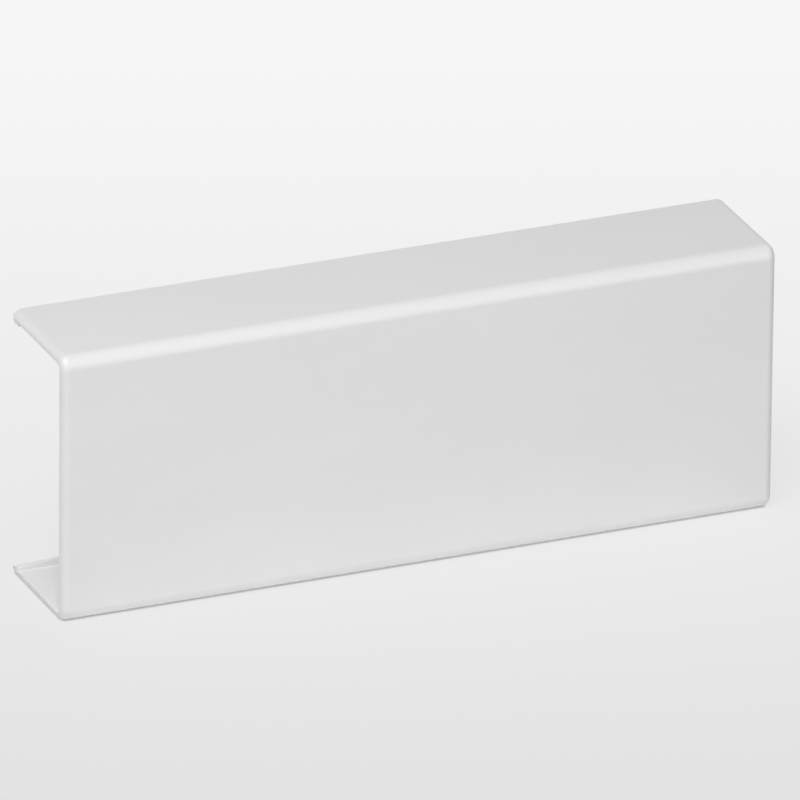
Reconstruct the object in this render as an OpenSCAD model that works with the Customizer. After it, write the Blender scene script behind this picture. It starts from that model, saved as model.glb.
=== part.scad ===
// Raceway coupling: a one-piece moulded cover that snaps over the butt joint of two raceway lengths.
// Millimetres. X runs along the raceway, -Y is the front face, +Y faces the wall, Z is up.
// The origin is at the middle of the lower flange's underside.

/* [Raceway] */
// Height of the raceway that the coupling covers
raceway_h = 40; // [20:0.5:100]
// Depth of that raceway, from the wall to its front face
raceway_d = 20; // [12:0.5:60]
// Clearance from the raceway to the web and to each flange
fit_clear = 0.2; // [0.1:0.05:0.6]
// Distance from the free edges to the wall behind the raceway
wall_gap = 1; // [0.4:0.1:3]

/* [Shell] */
// Length along the raceway
cover_l = 116; // [60:1:200]
// Thickness of the web and flanges
wall = 1.4; // [0.8:0.1:2.4]
// Inner radius of the bends between the web and the flanges
inner_r = 0.7; // [0.3:0.1:2]
// Flat left at the inner side of both ends, where the outer side is rounded over
end_land = 0.2; // [0.1:0.05:0.6]
// Radius of the flanges' free corners, seen from above
corner_r = 1; // [0.6:0.1:4]
// Radius of the outer side of the free edges
rim_r = 0.4; // [0.2:0.05:0.6]
// Flat of the free edges, between that radius and the lips' lead-in slope
rim_land = 0.5; // [0.2:0.05:0.8]

/* [Snap lips] */
// How far each lip reaches past the side of the raceway
lip_grip = 0.8; // [0.4:0.05:1.4]
// Height of each lip above its flange at both ends of the coupling
lip_end_h = 0.4; // [0.1:0.05:0.45]
// Depth of the slope that leads the raceway in, from the free edge to the crest
lip_lead = 2.2; // [1:0.1:4]
// Depth of the lip's crest
lip_crest = 0.5; // [0.2:0.1:1.5]
// Depth of the slope that holds the raceway
lip_catch = 0.2; // [0.1:0.05:2]
// Length over which a lip rises to its full height from each end
lip_ramp = 6; // [2:0.5:20]

/* [Hidden] */
$fn = 96;

// Overshoot of a cutting view past the face that it leaves alone
over = 1;

cover_h = raceway_h + 2 * (fit_clear + wall);
cover_d = raceway_d + fit_clear + wall - wall_gap;
front_y = -cover_d / 2;
rear_y = cover_d / 2;

bend_r = inner_r + wall;
end_r = wall - end_land;

lip_h = fit_clear + lip_grip;

// Section of the wall along the length: its inner face is on y = 0 and its outer ends are rounded over.
module wall_strip() {
    flat_l = cover_l - 2 * end_r;
    intersection() {
        translate([-cover_l / 2, 0]) square([cover_l, wall]);
        union() {
            translate([-cover_l / 2, 0]) square([cover_l, end_land]);
            translate([-flat_l / 2, 0]) square([flat_l, wall]);
            for (side = [-1, 1]) translate([side * flat_l / 2, end_land]) circle(end_r);
        }
    }
}

module web() {
    translate([0, front_y + wall, bend_r])
        rotate(180)
            linear_extrude(cover_h - 2 * bend_r) wall_strip();
}

module lower_bend() {
    translate([0, front_y + bend_r, bend_r])
        rotate([0, 90, 0]) rotate(-90)
            rotate_extrude(angle = 90)
                translate([inner_r, 0]) rotate(-90) wall_strip();
}

// The lower flange seen along the raceway: the wall, its free edge and the lip, in Y and Z.
module flange_profile() {
    crest_y = rear_y - lip_lead;
    crest_z = wall + lip_h;
    foot_y = crest_y - lip_crest - lip_catch;
    polygon([
        [front_y + bend_r, 0],
        [rear_y - rim_r, 0],
        [rear_y, rim_r],
        [rear_y, rim_r + rim_land],
        [crest_y, crest_z],
        [crest_y - lip_crest, crest_z],
        [foot_y, wall],
        [front_y + bend_r, wall]
    ]);
    translate([rear_y - rim_r, rim_r]) circle(rim_r);
}

// The lower flange seen from the front: the rounded strip and the lip's ramps, in X and Z.
module flange_front() {
    translate([0, wall]) mirror([0, 1]) wall_strip();
    polygon([
        [-cover_l / 2, wall],
        [-cover_l / 2, wall + lip_end_h],
        [-cover_l / 2 + lip_ramp, wall + lip_h],
        [cover_l / 2 - lip_ramp, wall + lip_h],
        [cover_l / 2, wall + lip_end_h],
        [cover_l / 2, wall]
    ]);
}

// The lower flange seen from above: the free corners are rounded, in X and Y.
module flange_plan() {
    corner_x = cover_l / 2 - corner_r;
    corner_y = rear_y - corner_r;
    translate([-cover_l / 2, front_y]) square([cover_l, corner_y - front_y]);
    translate([-corner_x, front_y]) square([2 * corner_x, cover_d]);
    for (side = [-1, 1]) translate([side * corner_x, corner_y]) circle(corner_r);
}

module lower_flange() {
    intersection() {
        translate([-cover_l / 2 - over, 0, 0])
            rotate([90, 0, 90]) linear_extrude(cover_l + 2 * over) flange_profile();
        translate([0, rear_y + over, 0])
            rotate([90, 0, 0]) linear_extrude(cover_d + over) flange_front();
        translate([0, 0, -over])
            linear_extrude(wall + lip_h + 2 * over) flange_plan();
    }
}

module lower_side() {
    lower_bend();
    lower_flange();
}

module coupling_cover() {
    color("whitesmoke") {
        web();
        lower_side();
        translate([0, 0, cover_h]) mirror([0, 0, 1]) lower_side();
    }
}

coupling_cover();
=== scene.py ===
"""Looks for the raceway coupling: its moulded cover, its satin white plastic and the stage it stands on.

Metres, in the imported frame: X runs along the raceway, -Y is the front face, +Y faces the wall, Z is up.
"""

import math

import bmesh
import bpy
from bpy.props import FloatProperty, FloatVectorProperty, PointerProperty
from mathutils import Matrix, Vector


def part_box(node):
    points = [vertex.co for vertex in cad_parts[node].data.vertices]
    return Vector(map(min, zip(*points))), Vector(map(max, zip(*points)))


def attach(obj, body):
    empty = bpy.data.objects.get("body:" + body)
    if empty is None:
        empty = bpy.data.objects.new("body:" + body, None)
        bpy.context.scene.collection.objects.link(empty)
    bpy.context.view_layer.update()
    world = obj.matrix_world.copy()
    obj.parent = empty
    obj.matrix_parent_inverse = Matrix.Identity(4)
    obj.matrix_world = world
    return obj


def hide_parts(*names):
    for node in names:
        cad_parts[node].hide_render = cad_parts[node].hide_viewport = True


bl_info = {
    "name": "Raceway coupling",
    "version": (1, 0, 0),
    "blender": (4, 5, 0),
    "location": "View3D > Sidebar > Coupling",
    "description": "Moulds the cover of a raceway coupling, finishes its plastic and sets its stage",
    "category": "Object",
}

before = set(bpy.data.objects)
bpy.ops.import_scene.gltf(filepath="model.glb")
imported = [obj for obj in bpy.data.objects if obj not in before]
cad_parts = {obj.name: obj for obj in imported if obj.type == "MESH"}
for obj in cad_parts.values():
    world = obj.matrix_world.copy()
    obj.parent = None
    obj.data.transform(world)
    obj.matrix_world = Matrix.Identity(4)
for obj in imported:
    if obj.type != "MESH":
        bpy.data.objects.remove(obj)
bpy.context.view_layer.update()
COVER_NODE = "coupling_cover"
COVER_LOW, COVER_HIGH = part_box(COVER_NODE)
COVER_CENTRE = (COVER_LOW + COVER_HIGH) / 2

# Steps of the mesh around the section: bends, outer rim, small roundings
BEND_STEPS = 14
RIM_STEPS = 6
BREAK_STEPS = 4
# Cuts across its straight runs: lead-in slope, flange, web
LEAD_CUTS = 2
FLANGE_CUTS = 5
WEB_CUTS = 12
# Steps along the cover: where both end roundings curve, where one does, the lip's ramp, the rest
BOTH_STEPS = 14
ONE_STEPS = 4
RAMP_STEPS = 6
MIDDLE_STEPS = 9
# Most of a straight run that the rounding of one of its corners may take up
CORNER_SHARE = 0.45

# Noise in the plastic: octaves, how much each next one counts, and the range that it mostly fills
GRAIN_OCTAVES = 2.0
FLOW_OCTAVES = 4.0
OCTAVE_SHARE = 0.55
NOISE_RANGE = (0.3, 0.7)
# Scale of the flow marks along the raceway, where the melt drew them out
FLOW_DRAW = 0.4

# How far the camera sees, in distances to the coupling
SIGHT_DISTANCES = 10


def length(name, description, default):
    """A property for a length in metres."""
    return FloatProperty(
        name=name, description=description, default=default, min=0.0, precision=5, unit="LENGTH"
    )


def share(name, description, default):
    """A property for a share between none and all."""
    return FloatProperty(
        name=name, description=description, default=default, min=0.0, max=1.0, subtype="FACTOR"
    )


def colour(name, description, default):
    """A property for an opaque colour."""
    return FloatVectorProperty(
        name=name, description=description, default=(*default, 1.0),
        size=4, min=0.0, max=1.0, subtype="COLOR",
    )


def place(name, description, default):
    """A property for a point in the frame."""
    return FloatVectorProperty(
        name=name, description=description, default=default, size=3, subtype="TRANSLATION"
    )


def power(name, description, default):
    """A property for a lamp's power in watts."""
    return FloatProperty(name=name, description=description, default=default, min=0.0, unit="POWER")


def angle(name, description, degrees):
    """A property for an angle, with its default given in degrees."""
    return FloatProperty(name=name, description=description, default=math.radians(degrees), subtype="ANGLE")


class CoverSizes(bpy.types.PropertyGroup):
    """Sizes of the cover's section and edges; its box comes from the frame."""

    wall: length("Wall", "Thickness of the web and flanges", 0.0014)
    inner_radius: length("Inner radius", "Inside radius of the bends along the web", 0.0007)
    end_land: length("End land", "Flat of both ends, inside their rounded outer edge", 0.0002)
    corner_radius: length("Corner radius", "Radius of the flanges' free corners, seen from above", 0.001)
    rim_radius: length("Rim radius", "Radius on the outside of the free edges", 0.0004)
    rim_land: length("Rim land", "Flat of the free edges, below the lead-in slope", 0.0005)
    lip_height: length("Lip height", "Height of the snap lips above the flanges", 0.001)
    lip_end: length("Lip end height", "Height of the snap lips at both ends of the cover", 0.0004)
    lip_lead: length("Lip lead-in", "Depth of the slope that leads the raceway in", 0.0022)
    lip_crest: length("Lip crest", "Depth of the flat crest of a lip", 0.0005)
    lip_catch: length("Lip catch", "Depth of the slope that holds the raceway", 0.0002)
    lip_ramp: length("Lip ramp", "Length over which a lip rises from each end", 0.006)
    foot_break: length("Foot break", "Reach of the rounding where a lip meets its flange", 0.00004)
    edge_break: length("Edge break", "Reach of the small rounding on every other edge", 0.00012)


class PlasticFinish(bpy.types.PropertyGroup):
    """Colour and surface of the moulded plastic."""

    white: colour("White", "Colour of the plastic", (0.79, 0.79, 0.79))
    refraction: FloatProperty(
        name="Refraction", description="Refractive index of the plastic", default=1.53, min=1.0
    )
    satin: share("Satin", "Roughness of the grained outside", 0.43)
    smooth: share("Smooth", "Roughness of the plain inside", 0.34)
    grain_size: length("Grain size", "Width of the spark-eroded grain", 0.00036)
    satin_depth: length("Satin depth", "Depth of that grain on the outside", 0.000012)
    smooth_depth: length("Smooth depth", "Depth of that grain on the inside", 0.000004)
    flow_size: length("Flow size", "Width of the cloudy marks where the melt ran", 0.012)
    tone_spread: share("Tone spread", "How far those marks lighten or darken the white", 0.012)
    satin_spread: share("Satin spread", "How far they change the outside's roughness", 0.03)
    smooth_spread: share("Smooth spread", "How far they change the inside's roughness", 0.05)


class StageSettings(bpy.types.PropertyGroup):
    """Camera, floor and lamps."""

    azimuth: angle("Azimuth", "Turn of the camera to the left of the front", 23.019)
    elevation: angle("Elevation", "Height of the camera above level", 23.741)
    roll: angle("Roll", "Tilt of the camera about its view", 0.623)
    distance: length("Distance", "From the camera to the coupling", 3.0)
    picture_width: length("Picture width", "Width that the picture takes in at the coupling", 0.1204058)
    aim_right: length("Aim right", "How far right of the coupling's centre the camera aims", 0.000828)
    aim_up: length("Aim up", "How far above the coupling's centre the camera aims", 0.001436)
    floor_size: length("Floor size", "Side of the floor", 12.0)
    # Near and far floor colours paint a falloff of light: the floor darker in front of the coupling,
    # brighter behind it
    floor_near: colour("Near floor", "Colour of the floor in front of the coupling", (0.767, 0.767, 0.767))
    floor_far: colour("Far floor", "Colour of the floor behind the coupling", (0.968, 0.968, 0.968))
    floor_bounce: share("Floor bounce", "Share of the light that the floor gives back", 0.95)
    shadow_share: share("Shadow share", "Share of the floor's tone that takes shadows", 0.1)
    # Painted contact shadow: the floor's seen colour darkened where the coupling meets it
    contact_share: share("Contact share", "How dark the floor gets where the coupling meets it", 0.55)
    contact_reach: length("Contact reach", "How far that darkness reaches from the coupling", 0.00035)
    sky: share("Sky", "Light from all around", 0.004)
    softbox: length("Softbox", "Side of each softbox", 0.5)
    strip: length("Strip", "Height of the strip softbox behind, as wide as the others", 0.04)
    key_place: place("Key place", "Main softbox, high at the front left", (-0.318, -0.318, 0.801))
    key_power: power("Key power", "Power of the main softbox", 7.15)
    fill_place: place("Fill place", "Weaker softbox, low at the front right", (0.358, -0.771, 0.317))
    fill_power: power("Fill power", "Power of the weaker softbox", 1.62)
    side_place: place("Side place", "Weak softbox on the left", (-0.779, 0.0, 0.472))
    side_power: power("Side power", "Power of the weak softbox on the left", 0.55)
    back_place: place("Back place", "Strip softbox behind, level with the inside", (0.0, 0.9, 0.0216))
    back_power: power("Back power", "Power of the strip softbox behind", 2.0)


def fall_back(along, radius):
    """How far a rounded end has fallen back, at a distance along from its tip."""
    if along >= radius:
        return 0.0
    return radius - math.sqrt(radius**2 - (radius - along) ** 2)


def rounded(before, corner, after, reach, steps):
    """Points of the circular arc that rounds a corner and starts at a reach before it."""
    ahead, behind = after - corner, before - corner
    reach = min(reach, CORNER_SHARE * ahead.length, CORNER_SHARE * behind.length)
    start, end = corner + behind.normalized() * reach, corner + ahead.normalized() * reach
    weight = math.sin(ahead.angle(behind) / 2)
    points = []
    for step in range(steps + 1):
        t = step / steps
        shares = ((1 - t) ** 2, 2 * weight * t * (1 - t), t**2)
        points.append((start * shares[0] + corner * shares[1] + end * shares[2]) / sum(shares))
    return points


def straight(start, end, cuts):
    """Points that cut a straight run into even lengths, without its two ends."""
    return [start.lerp(end, cut / (cuts + 1)) for cut in range(1, cuts + 1)]


def flange_inside(sizes, along):
    """The lower flange's free edge and inside, in Y and Z, at a distance along from the end.

    The edge runs from the underside round to the lead-in slope, and the inside from there over the lip
    to the bend.
    """
    rear_y = COVER_HIGH.y
    drop = fall_back(along, sizes.wall - sizes.end_land)
    wall = sizes.wall - fall_back(along, sizes.edge_break)
    edge_y = rear_y - fall_back(along, sizes.corner_radius)
    lip = sizes.lip_end + min(along / sizes.lip_ramp, 1.0) * (sizes.lip_height - sizes.lip_end)
    crest_z = wall + lip
    rim_z = sizes.rim_radius + sizes.rim_land
    slope = (sizes.wall + sizes.lip_height - rim_z) / sizes.lip_lead
    # Where the corner cuts the slope short, it keeps room for the rounding at each of its ends
    lead_y = min(rear_y - (crest_z - rim_z) / slope, edge_y - 2 * sizes.edge_break)
    foot_y = rear_y - sizes.lip_lead - sizes.lip_crest - sizes.lip_catch
    crest_y = foot_y + sizes.lip_catch * lip / sizes.lip_height
    bend_y = COVER_LOW.y + sizes.inner_radius + sizes.wall

    under = Vector((bend_y, drop))
    rim = Vector((edge_y, drop))
    edge = Vector((edge_y, min(crest_z, rim_z + slope * (rear_y - edge_y))))
    lead = Vector((lead_y, crest_z))
    crest = Vector((crest_y, crest_z))
    foot = Vector((foot_y, wall))
    bend = Vector((bend_y, wall))

    rim_reach = min(sizes.rim_radius, (edge.y - drop) / 2)
    free_edge = rounded(under, rim, edge, rim_reach, RIM_STEPS)
    free_edge += rounded(rim, edge, lead, sizes.edge_break, BREAK_STEPS)
    over_lip = rounded(edge, lead, crest, sizes.edge_break, BREAK_STEPS)
    over_lip += rounded(lead, crest, foot, sizes.edge_break, BREAK_STEPS)
    over_lip += rounded(crest, foot, bend, sizes.foot_break, BREAK_STEPS)
    up_slope = straight(free_edge[-1], over_lip[0], LEAD_CUTS)
    to_bend = straight(over_lip[-1], bend, FLANGE_CUTS)
    return free_edge, up_slope + over_lip + to_bend


def flipped(points):
    """The same points in the other half of the section, in reverse."""
    return [Vector((point.x, COVER_HIGH.z - point.y)) for point in reversed(points)]


def section(sizes, along):
    """The cover's lower free edge, inside and outside, in Y and Z, at a distance along from the end.

    The inside and outside run from the lower edge to the upper one, point for point beside each other.
    """
    drop = fall_back(along, sizes.wall - sizes.end_land)
    wall = sizes.wall - fall_back(along, sizes.edge_break)
    bend = sizes.inner_radius + sizes.wall
    bend_y = COVER_LOW.y + bend
    turns = [math.pi / 2 * step / BEND_STEPS for step in range(BEND_STEPS + 1)]

    def around(flange, depth):
        """A whole path at a depth below the outer face, from one flange round the web to the other."""
        reach = bend - depth
        half = flange + [Vector((bend_y - reach * math.sin(t), bend - reach * math.cos(t))) for t in turns]
        other = flipped(half)
        return half + straight(half[-1], other[0], WEB_CUTS) + other

    free_edge, flange = flange_inside(sizes, along)
    stretch = (free_edge[0].x - bend_y) / (free_edge[-1].x - bend_y)
    under = [Vector((bend_y + (point.x - bend_y) * stretch, drop)) for point in flange]
    return free_edge, around(flange, wall), around(under, drop)


def stations(sizes):
    """Distances from one end to the middle at which sections are taken, closest where the edges curve."""
    small, large = sorted((sizes.wall - sizes.end_land, sizes.corner_radius))
    # The outer rounding and the corner both curve up to the smaller radius, and one of them beyond it
    split = math.acos(1 - small / large)
    turns = [split * step / BOTH_STEPS for step in range(BOTH_STEPS)]
    turns += [split + (math.pi / 2 - split) * step / ONE_STEPS for step in range(ONE_STEPS)]
    found = [large * (1 - math.cos(turn)) for turn in turns]
    ramp_end, middle = sizes.lip_ramp, (COVER_HIGH.x - COVER_LOW.x) / 2
    found += [large + (ramp_end - large) * step / RAMP_STEPS for step in range(RAMP_STEPS)]
    found += [ramp_end + (middle - ramp_end) * step / MIDDLE_STEPS for step in range(MIDDLE_STEPS + 1)]
    return found


def cover_mesh(sizes):
    """The cover as one closed mesh, with the inside as its second material."""
    half = stations(sizes)
    places = [(COVER_LOW.x + along, along) for along in half]
    places += [(COVER_HIGH.x - along, along) for along in reversed(half[:-1])]
    shell = bmesh.new()
    rows = []
    for x, along in places:
        edge, inside, outside = section(sizes, along)
        loop = edge + inside + flipped(edge) + outside[::-1]
        rows.append([shell.verts.new((x, *point)) for point in loop])
    first, count = len(edge), len(rows[0])
    last = first + len(inside) - 1
    for row, following in zip(rows, rows[1:]):
        for index in range(count):
            onward = (index + 1) % count
            face = shell.faces.new((row[index], row[onward], following[onward], following[index]))
            face.material_index = int(first <= index < last)
    # Both ends are closed by quads between the inside and the outside, and a face at each free edge
    for row in (rows[0], rows[-1]):
        for index in range(first, last):
            across = first - 1 - index
            shell.faces.new((row[index], row[index + 1], row[across - 1], row[across]))
        shell.faces.new([row[-1], *row[: first + 1]])
        shell.faces.new(row[last : last + first + 2])
    bmesh.ops.recalc_face_normals(shell, faces=shell.faces)
    for face in shell.faces:
        face.smooth = True
    mesh = bpy.data.meshes.new("cover_shell")
    shell.to_mesh(mesh)
    shell.free()
    return mesh


def link(tree, source, target):
    """Joins an output socket to an input socket."""
    tree.links.new(source, target)


def new_node(tree, kind, label, **inputs):
    """A labelled shader node; inputs are socket values by name."""
    node = tree.nodes.new(kind)
    node.label = label
    for name, value in inputs.items():
        node.inputs[name].default_value = value
    return node


def colour_mix(tree, label):
    """A mix of two colours: its factor, its two colours and its result."""
    mix = new_node(tree, "ShaderNodeMix", label)
    mix.data_type = "RGBA"
    first, second = (socket for socket in mix.inputs if socket.type == "RGBA")
    result = next(socket for socket in mix.outputs if socket.type == "RGBA")
    return mix.inputs["Factor"], first, second, result


def shader_mix(tree, label, first, second):
    """A mix of two shader nodes, with its factor left to set."""
    mix = new_node(tree, "ShaderNodeMixShader", label)
    link(tree, first.outputs[0], mix.inputs[1])
    link(tree, second.outputs[0], mix.inputs[2])
    return mix


def moulded_grain():
    """Node group for moulded plastic: fine spark-eroded grain over cloudy flow marks."""
    group = bpy.data.node_groups.new("moulded grain", "ShaderNodeTree")
    for in_out, names in (
        ("INPUT", ("Colour", "Tone Spread", "Roughness", "Gloss Spread", "Grain Size", "Flow Size")),
        ("OUTPUT", ("Colour", "Roughness", "Height")),
    ):
        for name in names:
            kind = "NodeSocketColor" if name == "Colour" else "NodeSocketFloat"
            group.interface.new_socket(name, in_out=in_out, socket_type=kind)
    into, out = group.nodes.new("NodeGroupInput"), group.nodes.new("NodeGroupOutput")
    where = group.nodes.new("ShaderNodeTexCoord")

    def noise(label, size, octaves):
        """A noise texture that takes its width from one of the group's inputs."""
        scale = new_node(group, "ShaderNodeMath", label + " scale")
        scale.operation = "DIVIDE"
        scale.inputs[0].default_value = 1.0
        link(group, into.outputs[size], scale.inputs[1])
        texture = new_node(group, "ShaderNodeTexNoise", label, Detail=octaves, Roughness=OCTAVE_SHARE)
        link(group, scale.outputs[0], texture.inputs["Scale"])
        return texture

    grain = noise("grain", "Grain Size", GRAIN_OCTAVES)
    link(group, where.outputs["Object"], grain.inputs["Vector"])
    drawn = new_node(group, "ShaderNodeMapping", "drawn out along the raceway", Scale=(FLOW_DRAW, 1.0, 1.0))
    link(group, where.outputs["Object"], drawn.inputs["Vector"])
    flow = noise("flow marks", "Flow Size", FLOW_OCTAVES)
    link(group, drawn.outputs["Vector"], flow.inputs["Vector"])

    def spread(label, texture, centre, amount):
        """centre plus or minus amount, following the texture."""
        swing = new_node(group, "ShaderNodeMapRange", label + " swing")
        ends = ("From Min", "From Max", "To Min", "To Max")
        for name, value in zip(ends, (*NOISE_RANGE, -1.0, 1.0)):
            swing.inputs[name].default_value = value
        link(group, texture.outputs["Fac"], swing.inputs["Value"])
        total = new_node(group, "ShaderNodeMath", label)
        total.operation = "MULTIPLY_ADD"
        link(group, swing.outputs["Result"], total.inputs[0])
        link(group, amount, total.inputs[1])
        if isinstance(centre, float):
            total.inputs[2].default_value = centre
        else:
            link(group, centre, total.inputs[2])
        return total.outputs[0]

    tone = new_node(group, "ShaderNodeVectorMath", "tone")
    tone.operation = "SCALE"
    link(group, into.outputs["Colour"], tone.inputs[0])
    link(group, spread("tone share", flow, 1.0, into.outputs["Tone Spread"]), tone.inputs["Scale"])
    link(group, tone.outputs[0], out.inputs["Colour"])
    gloss = spread("gloss", flow, into.outputs["Roughness"], into.outputs["Gloss Spread"])
    link(group, gloss, out.inputs["Roughness"])
    link(group, grain.outputs["Fac"], out.inputs["Height"])
    return group


def plastic(name, group, finish, roughness, gloss_spread, depth):
    """White moulded plastic with its own roughness and depth of grain."""
    material = bpy.data.materials.new(name)
    material.use_nodes = True
    tree = material.node_tree
    shader = tree.nodes["Principled BSDF"]
    shader.inputs["IOR"].default_value = finish.refraction
    skin = tree.nodes.new("ShaderNodeGroup")
    skin.node_tree = group
    for socket, value in (
        ("Colour", finish.white),
        ("Tone Spread", finish.tone_spread),
        ("Roughness", roughness),
        ("Gloss Spread", gloss_spread),
        ("Grain Size", finish.grain_size),
        ("Flow Size", finish.flow_size),
    ):
        skin.inputs[socket].default_value = value
    bump = new_node(tree, "ShaderNodeBump", "grain relief", Strength=1.0, Distance=depth)
    link(tree, skin.outputs["Colour"], shader.inputs["Base Color"])
    link(tree, skin.outputs["Roughness"], shader.inputs["Roughness"])
    link(tree, skin.outputs["Height"], bump.inputs["Height"])
    link(tree, bump.outputs["Normal"], shader.inputs["Normal"])
    return material


def seen_mask(tree):
    """1 for rays that show a surface straight, mirrored or through glass, and 0 for all others."""
    path = tree.nodes.new("ShaderNodeLightPath")
    total = path.outputs["Is Camera Ray"]
    for name in ("Is Glossy Ray", "Is Transmission Ray"):
        either = new_node(tree, "ShaderNodeMath", "either ray")
        either.operation = "MAXIMUM"
        link(tree, total, either.inputs[0])
        link(tree, path.outputs[name], either.inputs[1])
        total = either.outputs[0]
    return total


def painted_falloff_tone(tree, stage):
    """The paper's colour with a painted falloff of light: darker at the front of the picture, brighter at
    its back.
    """
    where = tree.nodes.new("ShaderNodeTexCoord")
    depth = new_node(tree, "ShaderNodeVectorMath", "depth behind the coupling")
    depth.operation = "DOT_PRODUCT"
    depth.inputs[1].default_value = (math.sin(stage.azimuth), math.cos(stage.azimuth), 0.0)
    link(tree, where.outputs["Object"], depth.inputs[0])
    visible_depth = stage.picture_width / math.sin(stage.elevation)
    middle = (COVER_HIGH.z - COVER_LOW.z) / 2 / math.tan(stage.elevation)
    fade = new_node(tree, "ShaderNodeMapRange", "front to back")
    fade.inputs["From Min"].default_value = middle - visible_depth / 2
    fade.inputs["From Max"].default_value = middle + visible_depth / 2
    link(tree, depth.outputs["Value"], fade.inputs["Value"])
    factor, near, far, paper = colour_mix(tree, "paper with painted falloff")
    near.default_value, far.default_value = stage.floor_near, stage.floor_far
    link(tree, fade.outputs["Result"], factor)
    return paper


def painted_contact_shadow(tree, stage, paper):
    """The paper's colour with a painted contact shadow: darker close to where the coupling meets it."""
    reach = stage.contact_reach
    occluded = new_node(tree, "ShaderNodeAmbientOcclusion", "under the coupling", Distance=reach)
    link(tree, paper, occluded.inputs["Color"])
    factor, clear, dark, toned = colour_mix(tree, "contact shadow")
    factor.default_value = stage.contact_share
    link(tree, paper, clear)
    link(tree, occluded.outputs["Color"], dark)
    return toned


def floor_material(stage):
    """Pale paper: bounces light plainly, and is seen as a soft painted gradient of light with a painted
    contact shadow, keeping part of the real shadow.
    """
    material = bpy.data.materials.new("pale_paper")
    material.use_nodes = True
    tree = material.node_tree
    tree.nodes.remove(tree.nodes["Principled BSDF"])
    paper = painted_falloff_tone(tree, stage)
    # The even tone shows the paper with its painted falloff and painted contact shadow; no lamp lights it
    glow = new_node(tree, "ShaderNodeEmission", "even tone", Strength=1.0)
    link(tree, painted_contact_shadow(tree, stage, paper), glow.inputs["Color"])
    shaded = new_node(tree, "ShaderNodeBsdfDiffuse", "shaded tone")
    link(tree, paper, shaded.inputs["Color"])
    seen = shader_mix(tree, "seen paper", glow, shaded)
    seen.inputs["Fac"].default_value = stage.shadow_share
    bounce = new_node(tree, "ShaderNodeBsdfDiffuse", "bounce", Color=(*[stage.floor_bounce] * 3, 1.0))
    mixed = shader_mix(tree, "seen or bounced", bounce, seen)
    link(tree, seen_mask(tree), mixed.inputs["Fac"])
    link(tree, mixed.outputs[0], tree.nodes["Material Output"].inputs["Surface"])
    # The even tone is only seen, and lights nothing
    material.cycles.emission_sampling = "NONE"
    return material


def add_object(name, data):
    """A new object in the scene."""
    made = bpy.data.objects.new(name, data)
    bpy.context.scene.collection.objects.link(made)
    return made


def add_floor(stage):
    """A large level floor under the coupling."""
    sheet = bmesh.new()
    bmesh.ops.create_grid(sheet, x_segments=1, y_segments=1, size=stage.floor_size / 2)
    mesh = bpy.data.meshes.new("floor")
    sheet.to_mesh(mesh)
    sheet.free()
    mesh.materials.append(floor_material(stage))
    floor = add_object("floor", mesh)
    floor.location.z = COVER_LOW.z


def add_sky(stage):
    """Even light from all around, seen as the same pale tone as the far floor."""
    world = bpy.data.worlds.new("sky")
    bpy.context.scene.world = world
    world.use_nodes = True
    tree = world.node_tree
    light = tree.nodes["Background"]
    light.inputs["Color"].default_value = (1.0, 1.0, 1.0, 1.0)
    light.inputs["Strength"].default_value = stage.sky
    seen = new_node(tree, "ShaderNodeBackground", "seen sky", Color=stage.floor_far)
    mixed = shader_mix(tree, "seen or lighting", light, seen)
    link(tree, seen_mask(tree), mixed.inputs["Fac"])
    link(tree, mixed.outputs[0], tree.nodes["World Output"].inputs["Surface"])


def add_softbox(name, at, size, watts):
    """A softbox of a width and height that faces the coupling and isn't seen itself."""
    lamp = bpy.data.lights.new(name, "AREA")
    lamp.shape = "RECTANGLE"
    lamp.size, lamp.size_y = size
    lamp.energy = watts
    softbox = add_object(name, lamp)
    softbox.location = at
    softbox.rotation_euler = (COVER_CENTRE - Vector(at)).to_track_quat("-Z", "Y").to_euler()
    softbox.visible_camera = False


def add_camera(stage):
    """The camera at the photograph's viewing angle, framed on the coupling."""
    level, rise = math.cos(stage.elevation), math.sin(stage.elevation)
    back = Vector((-math.sin(stage.azimuth) * level, -math.cos(stage.azimuth) * level, rise))
    turn = (-back).to_track_quat("-Z", "Y").to_matrix() @ Matrix.Rotation(stage.roll, 3, "Z")
    aim = COVER_CENTRE + turn.col[0] * stage.aim_right + turn.col[1] * stage.aim_up
    view = bpy.data.cameras.new("camera")
    view.lens = view.sensor_width * stage.distance / stage.picture_width
    view.clip_end = SIGHT_DISTANCES * stage.distance
    camera = add_object("camera", view)
    camera.matrix_world = Matrix.Translation(aim + back * stage.distance) @ turn.to_4x4()
    bpy.context.scene.camera = camera


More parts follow.
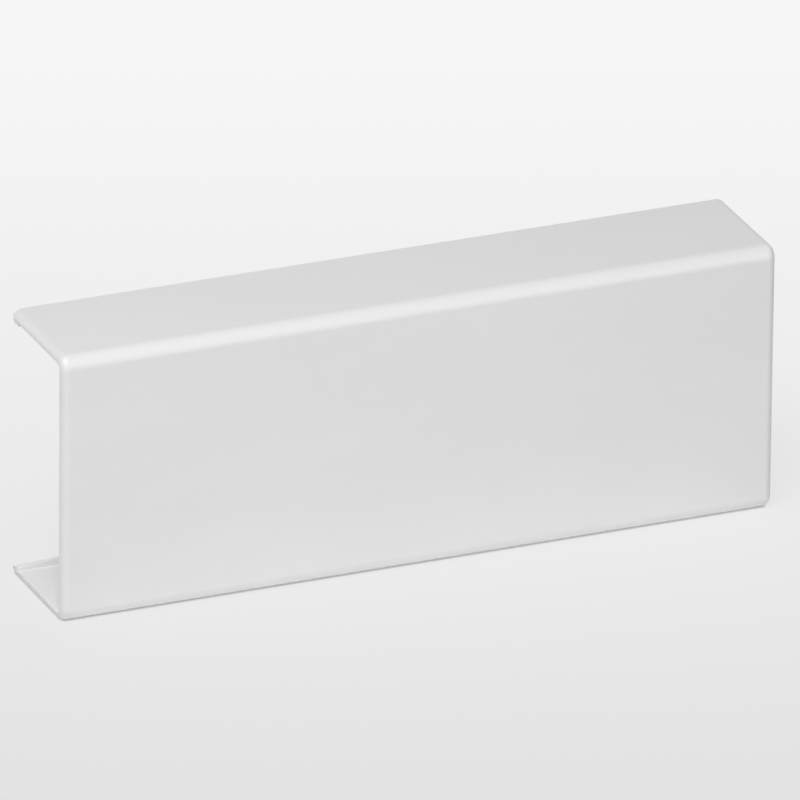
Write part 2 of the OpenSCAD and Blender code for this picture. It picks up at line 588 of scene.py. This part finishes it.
class COUPLING_OT_mould_cover(bpy.types.Operator):
    """Mould the cover and finish its outside and inside"""

    bl_idname = "coupling.mould_cover"
    bl_label = "Mould cover"

    def execute(self, context):
        sizes, finish = context.scene.cover_sizes, context.scene.plastic_finish
        cover = add_object("cover_shell", cover_mesh(sizes))
        group = moulded_grain()
        for name, roughness, gloss_spread, depth in (
            ("satin_white", finish.satin, finish.satin_spread, finish.satin_depth),
            ("smooth_white", finish.smooth, finish.smooth_spread, finish.smooth_depth),
        ):
            cover.data.materials.append(plastic(name, group, finish, roughness, gloss_spread, depth))
        cover.modifiers.new("flat faces stay flat", "WEIGHTED_NORMAL")
        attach(cover, "root")
        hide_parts(COVER_NODE)
        return {"FINISHED"}


class COUPLING_OT_set_stage(bpy.types.Operator):
    """Lay the floor, hang the lamps and aim the camera"""

    bl_idname = "coupling.set_stage"
    bl_label = "Set stage"

    def execute(self, context):
        stage = context.scene.stage_settings
        add_floor(stage)
        add_sky(stage)
        square, strip = (stage.softbox, stage.softbox), (stage.softbox, stage.strip)
        add_softbox("key", stage.key_place, square, stage.key_power)
        add_softbox("fill", stage.fill_place, square, stage.fill_power)
        add_softbox("side", stage.side_place, square, stage.side_power)
        add_softbox("back", stage.back_place, strip, stage.back_power)
        add_camera(stage)
        context.scene.view_settings.view_transform = "Standard"
        return {"FINISHED"}


class COUPLING_PT_sidebar(bpy.types.Panel):
    """Sizes, finish and stage of the coupling"""

    bl_idname = "COUPLING_PT_sidebar"
    bl_label = "Raceway coupling"
    bl_space_type = "VIEW_3D"
    bl_region_type = "UI"
    bl_category = "Coupling"

    def draw(self, context):
        scene = context.scene
        for operator, settings in (
            (COUPLING_OT_mould_cover, (scene.cover_sizes, scene.plastic_finish)),
            (COUPLING_OT_set_stage, (scene.stage_settings,)),
        ):
            box = self.layout.box()
            for group in settings:
                for name in group.__annotations__:
                    box.prop(group, name)
            box.operator(operator.bl_idname)


SETTINGS = {"cover_sizes": CoverSizes, "plastic_finish": PlasticFinish, "stage_settings": StageSettings}
CLASSES = (*SETTINGS.values(), COUPLING_OT_mould_cover, COUPLING_OT_set_stage, COUPLING_PT_sidebar)


def register():
    """Adds the classes, and the settings to every scene."""
    for item in CLASSES:
        bpy.utils.register_class(item)
    for name, group in SETTINGS.items():
        setattr(bpy.types.Scene, name, PointerProperty(type=group))


def unregister():
    """Takes the settings and the classes away again."""
    for name in SETTINGS:
        delattr(bpy.types.Scene, name)
    for item in reversed(CLASSES):
        bpy.utils.unregister_class(item)


def main():
    register()
    bpy.ops.coupling.mould_cover()
    bpy.ops.coupling.set_stage()


if __name__ == "__main__":
    main()
